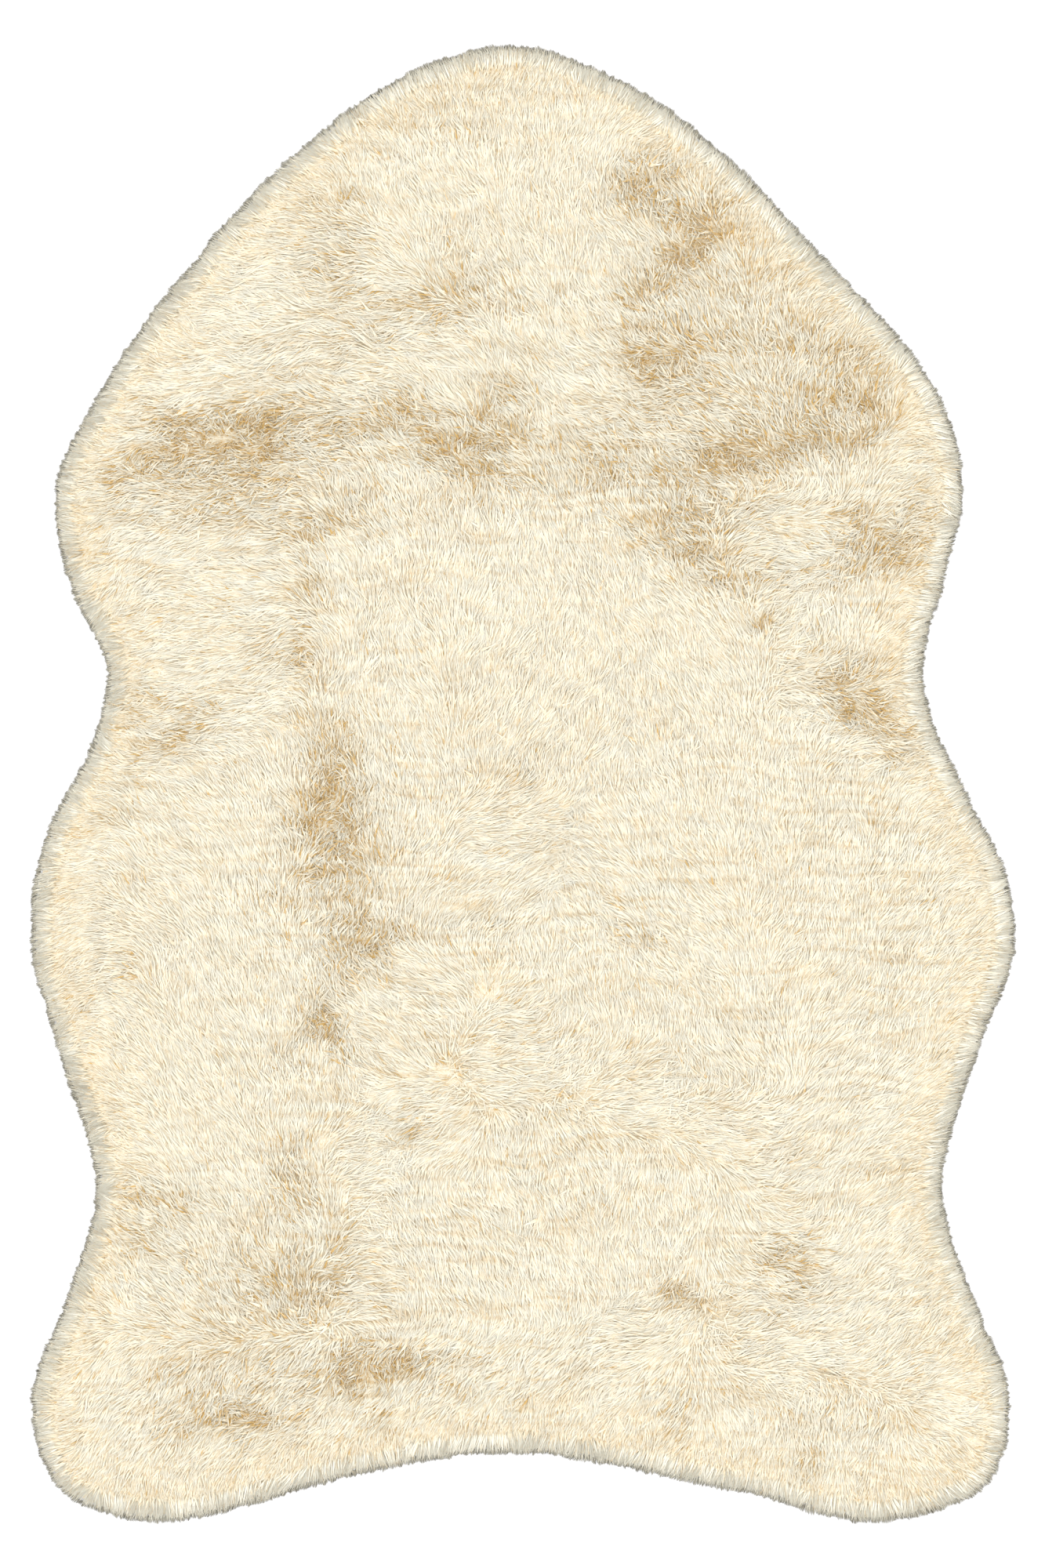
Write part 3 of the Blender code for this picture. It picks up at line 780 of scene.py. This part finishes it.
def hair_layer(
    name, x, y, length, radius, lift, wave, material,
    mess=1.0, room=None, edge=0.0, shade=0.0, slimmer=0.0, tone=0.0,
):
    """One piece of hairs. With a room each of them ends that far inside the rim."""
    to_rim = room is not None
    room = room if to_rim else rng.uniform(*HAIR_ROOM, len(x))
    lowest = EDGE_LOWEST if edge else FRINGE_LOWEST if to_rim else HAIR_LOWEST
    paths, angle, stand = hair_paths(x, y, length, lift, wave, room, mess, to_rim, lowest)
    radii = radius * rng.uniform(0.7, 1.2, len(x)) * (1 - slimmer * np.minimum(stand, 1))
    values = {
        "shade": shades(x, y, stand) + shade * (1 - 0.5 * np.minimum(stand, 1)),
        "tone": tones(x, y, stand) + tone,
        # How far a hair takes the grey of the painted shadow at the rim
        "edge": np.full(len(x), edge),
        # How strongly the ripples' light and shade is painted on a hair
        "rippled": RIPPLE_SHADE * rippled(x, y),
        "shifted": ripple_shift(x, y),
    }
    piece = hair_mesh(name, paths, angle, radii, values)
    piece.data.materials.append(material)
    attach(piece, "root")
    return piece


def fur_material():
    """Brown at the roots and cream at the tips, each hair a little different by its own values."""
    material = bpy.data.materials.new("fur")
    material.use_nodes = True
    tree = material.node_tree
    shader = tree.nodes["Principled BSDF"]
    shader.inputs["Roughness"].default_value = 0.75
    shader.inputs["Specular IOR Level"].default_value = 0.04
    shader.inputs["Sheen Weight"].default_value = 0.22
    shader.inputs["Sheen Roughness"].default_value = 0.45
    shader.inputs["Sheen Tint"].default_value = (1.0, 0.88, 0.68, 1)

    def reading(name):
        node = tree.nodes.new("ShaderNodeAttribute")
        node.attribute_name = name
        return node.outputs["Fac"]

    def sum_of(a, b, operation="ADD", clamp=False):
        node = tree.nodes.new("ShaderNodeMath")
        node.operation = operation
        node.use_clamp = clamp
        for socket, value in zip(node.inputs, (a, b)):
            if isinstance(value, (int, float)):
                socket.default_value = value
            else:
                tree.links.new(value, socket)
        return node.outputs[0]

    def mixed(factor, a, b, blend="MIX"):
        node = tree.nodes.new("ShaderNodeMix")
        node.data_type = "RGBA"
        node.blend_type = blend
        node.clamp_factor = True
        for key, kind, value in (("Factor", "VALUE", factor), ("A", "RGBA", a), ("B", "RGBA", b)):
            socket = next(s for s in node.inputs if s.name == key and s.type == kind)
            if isinstance(value, (int, float)):
                socket.default_value = value
            elif isinstance(value, tuple):
                socket.default_value = (*value, 1)
            else:
                tree.links.new(value, socket)
        return next(s for s in node.outputs if s.type == "RGBA")

    place = sum_of(reading("along"), reading("tone"))
    ramp = tree.nodes.new("ShaderNodeValToRGB")
    ramp.color_ramp.elements[0].position = 0.0
    ramp.color_ramp.elements[0].color = (*ROOT_COLOUR, 1)
    ramp.color_ramp.elements[1].position = 0.78
    ramp.color_ramp.elements[1].color = (*TIP_COLOUR, 1)
    for position, colour in ((0.30, MIDDLE_COLOUR), (1.0, PALE_COLOUR)):
        ramp.color_ramp.elements.new(position).color = (*colour, 1)
    tree.links.new(place, ramp.inputs["Fac"])
    shade = reading("shade")
    streaks = tree.nodes.new("ShaderNodeTexNoise")
    streaks.noise_dimensions = "2D"
    streaks.inputs["Scale"].default_value = 1.0
    streaks.inputs["Detail"].default_value = 1.0
    where = tree.nodes.new("ShaderNodeUVMap")
    where.uv_map = "streaks"
    tree.links.new(where.outputs["UV"], streaks.inputs["Vector"])
    swing = sum_of(sum_of(shade, 3.0, "MULTIPLY"), 0.95, "ADD")
    fine = sum_of(sum_of(streaks.outputs["Fac"], -0.5, "ADD"), swing, "MULTIPLY")
    # The ripples' painted light and shade: thin lighter and darker bands across the rug
    on_rug = tree.nodes.new("ShaderNodeTexCoord")
    apart = tree.nodes.new("ShaderNodeSeparateXYZ")
    tree.links.new(on_rug.outputs["Object"], apart.inputs[0])
    spread = tree.nodes.new("ShaderNodeCombineXYZ")
    along = sum_of(apart.outputs["Y"], reading("shifted"))
    tree.links.new(sum_of(apart.outputs["X"], 1 / RIPPLE_LONG, "MULTIPLY"), spread.inputs["X"])
    tree.links.new(sum_of(along, 1 / RIPPLE_APART, "MULTIPLY"), spread.inputs["Y"])
    lines = tree.nodes.new("ShaderNodeTexNoise")
    lines.noise_dimensions = "2D"
    lines.inputs["Scale"].default_value = 1.0
    lines.inputs["Detail"].default_value = 1.0
    tree.links.new(spread.outputs["Vector"], lines.inputs["Vector"])
    rippled = sum_of(sum_of(lines.outputs["Fac"], -0.5, "ADD"), reading("rippled"), "MULTIPLY")
    # How much darker a hair is: its own brown and streaks, and painted shade
    darker = sum_of(sum_of(shade, fine), rippled, "ADD", True)
    tinted = mixed(darker, ramp.outputs["Color"], BROWN_AND_SHADE_TINT, "MULTIPLY")
    # The hairs at the rim take the grey of the painted shadow
    with_rim_shadow = mixed(reading("edge"), tinted, RIM_SHADOW_COLOUR)
    tree.links.new(with_rim_shadow, shader.inputs["Base Color"])
    return material


def backing_material():
    """The knitted back of the fabric: rows of small loops."""
    material = bpy.data.materials.new("knitted_backing")
    material.use_nodes = True
    tree = material.node_tree
    shader = tree.nodes["Principled BSDF"]
    shader.inputs["Roughness"].default_value = 0.9
    shader.inputs["Specular IOR Level"].default_value = 0.15
    where = tree.nodes.new("ShaderNodeTexCoord")
    rows = tree.nodes.new("ShaderNodeTexWave")
    rows.bands_direction = "Y"
    rows.inputs["Scale"].default_value = 180
    rows.inputs["Distortion"].default_value = 1.5
    rows.inputs["Detail"].default_value = 2
    columns = tree.nodes.new("ShaderNodeTexWave")
    columns.bands_direction = "X"
    columns.inputs["Scale"].default_value = 140
    columns.inputs["Distortion"].default_value = 1.0
    for node in (rows, columns):
        tree.links.new(where.outputs["Object"], node.inputs["Vector"])
    loops = tree.nodes.new("ShaderNodeMath")
    loops.operation = "MULTIPLY"
    tree.links.new(rows.outputs["Fac"], loops.inputs[0])
    tree.links.new(columns.outputs["Fac"], loops.inputs[1])
    ramp = tree.nodes.new("ShaderNodeValToRGB")
    ramp.color_ramp.elements[0].color = (*[c * 0.62 for c in BACKING_COLOUR], 1)
    ramp.color_ramp.elements[1].color = (*BACKING_COLOUR, 1)
    tree.links.new(loops.outputs[0], ramp.inputs["Fac"])
    tree.links.new(ramp.outputs["Color"], shader.inputs["Base Color"])
    bump = tree.nodes.new("ShaderNodeBump")
    bump.inputs["Strength"].default_value = 0.6
    bump.inputs["Distance"].default_value = 0.4 * MM
    tree.links.new(loops.outputs[0], bump.inputs["Height"])
    tree.links.new(bump.outputs["Normal"], shader.inputs["Normal"])
    return material


def rim_loop(inset, step):
    """The closed line that far in from the rim, as even points in order.

    Each ray from the middle meets it once.
    """
    angles = np.linspace(0, 2 * math.pi, 4000, endpoint=False)
    low, high = np.zeros(len(angles)), np.full(len(angles), 600 * MM)
    for _ in range(24):
        middle = (low + high) / 2
        within = maps.read(maps.inset, np.cos(angles) * middle, np.sin(angles) * middle) > inset
        low, high = np.where(within, middle, low), np.where(within, high, middle)
    points = np.stack([np.cos(angles) * low, np.sin(angles) * low], 1)
    run = np.concatenate([[0], np.cumsum(np.hypot(*(np.roll(points, -1, 0) - points).T))])
    closed = np.concatenate([points, points[:1]])
    even = np.linspace(0, run[-1], int(run[-1] / step), endpoint=False)
    return np.stack([np.interp(even, run, closed[:, k]) for k in (0, 1)], 1)


def slab(name, inset, step, bottom, top_of):
    """A closed slab inside the rim, flat below, with its top given by a function of place."""
    rim = rim_loop(inset, step)
    row_step = step * ROW_APART
    columns, rows = int(GRID_SPAN[0] / step), int(GRID_SPAN[1] / row_step)
    i, j = np.meshgrid(np.arange(columns), np.arange(rows), indexing="ij")
    x = (-GRID_SPAN[0] / 2 + (i + 0.5 * (j % 2)) * step).ravel()
    y = (-GRID_SPAN[1] / 2 + j * row_step).ravel()
    kept = maps.read(maps.inset, x, y) > inset + step * 0.6
    inner = np.stack([x[kept], y[kept]], 1)
    places = [Vector(p) for p in np.concatenate([rim, inner])]
    made = geometry.delaunay_2d_cdt(places, [], [list(range(len(rim)))], 1, 1e-7)
    flat = np.array([(p.x, p.y) for p in made[0]])
    faces = np.array([f for f in made[2] if len(f) == 3])
    count = len(flat)
    top = np.column_stack([flat, np.maximum(top_of(flat[:, 0], flat[:, 1]), bottom + 0.3 * MM)])
    under = np.column_stack([flat, np.full(count, bottom)])
    used = {}
    for face in faces:
        for a, b in zip(face, np.roll(face, -1)):
            used[(a, b)] = used.get((a, b), 0) + 1
    side = [(a, b) for (a, b) in used if (b, a) not in used]
    walls = [(a, a + count, b + count, b) for a, b in side]
    data = bpy.data.meshes.new(name)
    data.from_pydata(
        np.concatenate([top, under]).tolist(), [],
        faces.tolist() + [tuple(reversed([k + count for k in f])) for f in faces.tolist()] + walls,
    )
    data.update()
    data.shade_smooth()
    piece = bpy.data.objects.new(name, data)
    bpy.context.scene.collection.objects.link(piece)
    return piece


def backing_top(x, y):
    return np.full(len(x), BACKING_THICK)


def backing():
    piece = slab("knitted_backing", BACKING_INSET, BACKING_STEP, 0.0, backing_top)
    piece.data.materials.append(backing_material())
    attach(piece, "root")
    return piece


def comb_streaks(mesh, x, y):
    """The fine streaks' map on a coarse mesh: each face's own runs the way the hairs lie there."""
    corners = np.empty(len(mesh.loops), dtype=np.int32)
    mesh.loops.foreach_get("vertex_index", corners)
    owners = np.repeat(np.arange(len(mesh.polygons)), [p.loop_total for p in mesh.polygons])
    middles = np.empty(len(mesh.polygons) * 3)
    mesh.polygons.foreach_get("center", middles)
    angle = heading(middles[0::3], middles[1::3])[0][owners]
    u = (y[corners] * np.cos(angle) - x[corners] * np.sin(angle)) / STREAK_WIDTH
    v = (x[corners] * np.cos(angle) + y[corners] * np.sin(angle)) / STREAK_LENGTH
    streaks = mesh.uv_layers.new(name="streaks")
    streaks.uv.foreach_set("vector", np.stack([u, v], 1).astype(np.float32).ravel())


def sunk_undercoat_top(x, y):
    """The undercoat's height, a little lower at the rim, so that the fringe covers it there."""
    near_rim = np.exp(-((maps.read(maps.inset, x, y) / SINKING_REACH) ** 2))
    return undercoat_top(x, y) - UNDERCOAT_SINKS * near_rim


def undercoat(material):
    piece = slab("undercoat", UNDERCOAT_INSET, UNDERCOAT_STEP, UNDERCOAT_BOTTOM, sunk_undercoat_top)
    x, y = np.array([v.co[:2] for v in piece.data.vertices]).T
    stand = standing(x, y)
    for key, value in (
        ("along", np.full(len(x), UNDERCOAT_ALONG)),
        ("tone", tones(x, y, stand)),
        ("shade", UNDERCOAT_SHADE[0] + UNDERCOAT_SHADE[1] * np.minimum(stand, 1)),
        ("edge", np.zeros(len(x))),
        ("rippled", RIPPLE_SHADE * rippled(x, y)),
        ("shifted", ripple_shift(x, y)),
    ):
        layer = piece.data.attributes.new(key, "FLOAT", "POINT")
        layer.data.foreach_set("value", value.astype(np.float32))
    comb_streaks(piece.data, x, y)
    piece.data.materials.append(material)
    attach(piece, "root")
    return piece


def fringe_places(count, inset_low, inset_high):
    """Places all along the rim at insets between the two, and how far along it they are."""
    rim = rim_loop(RIM_LINE_INSET, RIM_LINE_STEP)
    k = ((np.arange(count) + rng.random(count)) * len(rim) / count).astype(int)
    x, y = rim[k, 0], rim[k, 1]
    out_x, out_y = maps.outward(x, y)
    shift = RIM_LINE_INSET - rng.uniform(inset_low, inset_high, count)
    return x + out_x * shift, y + out_y * shift, k * RIM_LINE_STEP


def tooth_reach(run):
    """How far inside the rim the fringe ends, in teeth along it."""
    return TOOTH_REACH + TOOTH_LENGTH * noise(run, run * 0, TOOTH_WIDTH, 81)


def pile(material):
    x, y = scattered(DOWN_HAIRS, PILE_INSET)
    pieces = [
        hair_layer(
            "pile_down", x, y, DOWN_LENGTH, DOWN_RADIUS, DOWN_LIFT, DOWN_WAVE, material,
            mess=DOWN_MESS, shade=DOWN_SHADE, slimmer=DOWN_SLIMMER, tone=DOWN_TONE,
        )
    ]
    x, y = scattered(HAIRS, PILE_INSET)
    piece_of = rng.integers(0, LONG_PIECES, len(x))
    for k in range(LONG_PIECES):
        own_x, own_y = x[piece_of == k], y[piece_of == k]
        pieces.append(
            hair_layer(
                f"pile_long_{k}", own_x, own_y, HAIR_LENGTH, HAIR_RADIUS, HAIR_LIFT, HAIR_WAVE, material,
                slimmer=HAIR_SLIMMER,
            )
        )
    x, y, run = fringe_places(FRINGE_HAIRS, *FRINGE_ROOTS)
    room = tooth_reach(run) + FRINGE_SPREAD * rng.random(len(x)) ** 2
    lift = rng.uniform(*FRINGE_LIFT, len(x))
    pieces.append(
        hair_layer(
            "fringe", x, y, FRINGE_LENGTH, FRINGE_RADIUS, lift, FRINGE_WAVE, material,
            mess=FRINGE_MESS, room=room, tone=FRINGE_TONE, shade=FRINGE_SHADE,
        )
    )
    # Grey hairs reaching just past the fringe: painted shadow around the rug's edge
    x, y, run = fringe_places(EDGE_HAIRS, *EDGE_ROOTS)
    room = tooth_reach(run) + rng.uniform(*EDGE_SPREAD, len(x)) - EDGE_SHOWS
    pieces.append(
        hair_layer(
            "rim_shadow_hairs", x, y, EDGE_LENGTH, EDGE_RADIUS, EDGE_LIFT, EDGE_WAVE, material,
            mess=EDGE_MESS, room=room, edge=1.0,
        )
    )
    return pieces


def camera():
    lens = bpy.data.cameras.new("camera")
    lens.sensor_width = SENSOR_MM
    lens.lens = LENS_MM
    lens.clip_end = 50
    eye = bpy.data.objects.new("camera", lens)
    eye.location = (FRAME_ACROSS, 0, RIM_HEIGHT + FRAME_LONG * LENS_MM / SENSOR_MM)
    bpy.context.scene.collection.objects.link(eye)
    bpy.context.scene.camera = eye


def lights():
    world = bpy.data.worlds.new("studio")
    world.use_nodes = True
    shade = world.node_tree.nodes["Background"]
    shade.inputs["Color"].default_value = (1.0, 1.0, 1.0, 1)
    shade.inputs["Strength"].default_value = WORLD_STRENGTH
    bpy.context.scene.world = world
    key = bpy.data.lights.new("key", "SUN")
    key.angle = math.radians(KEY_SPREAD_DEG)
    key.energy = KEY_STRENGTH
    lamp = bpy.data.objects.new("key", key)
    lamp.location = KEY_PLACE
    lamp.rotation_euler = (Vector((0, 0, 0)) - lamp.location).to_track_quat("-Z", "Y").to_euler()
    bpy.context.scene.collection.objects.link(lamp)


def floor():
    data = bpy.data.meshes.new("floor")
    half = FLOOR_HALF
    corners = [(-half, -half, 0), (half, -half, 0), (half, half, 0), (-half, half, 0)]
    data.from_pydata(corners, [], [(0, 1, 2, 3)])
    piece = bpy.data.objects.new("floor", data)
    piece.location.z = -FLOOR_DROP
    material = bpy.data.materials.new("floor")
    material.use_nodes = True
    shader = material.node_tree.nodes["Principled BSDF"]
    shader.inputs["Base Color"].default_value = (*FLOOR_COLOUR, 1)
    shader.inputs["Roughness"].default_value = 0.8
    shader.inputs["Specular IOR Level"].default_value = 0.1
    data.materials.append(material)
    bpy.context.scene.collection.objects.link(piece)


fur = fur_material()
back = backing()
coat = undercoat(fur)
hairs = pile(fur)
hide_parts(NODE)
camera()
lights()
floor()
scene = bpy.context.scene
scene.view_settings.view_transform = "Standard"
scene.view_settings.look = "None"
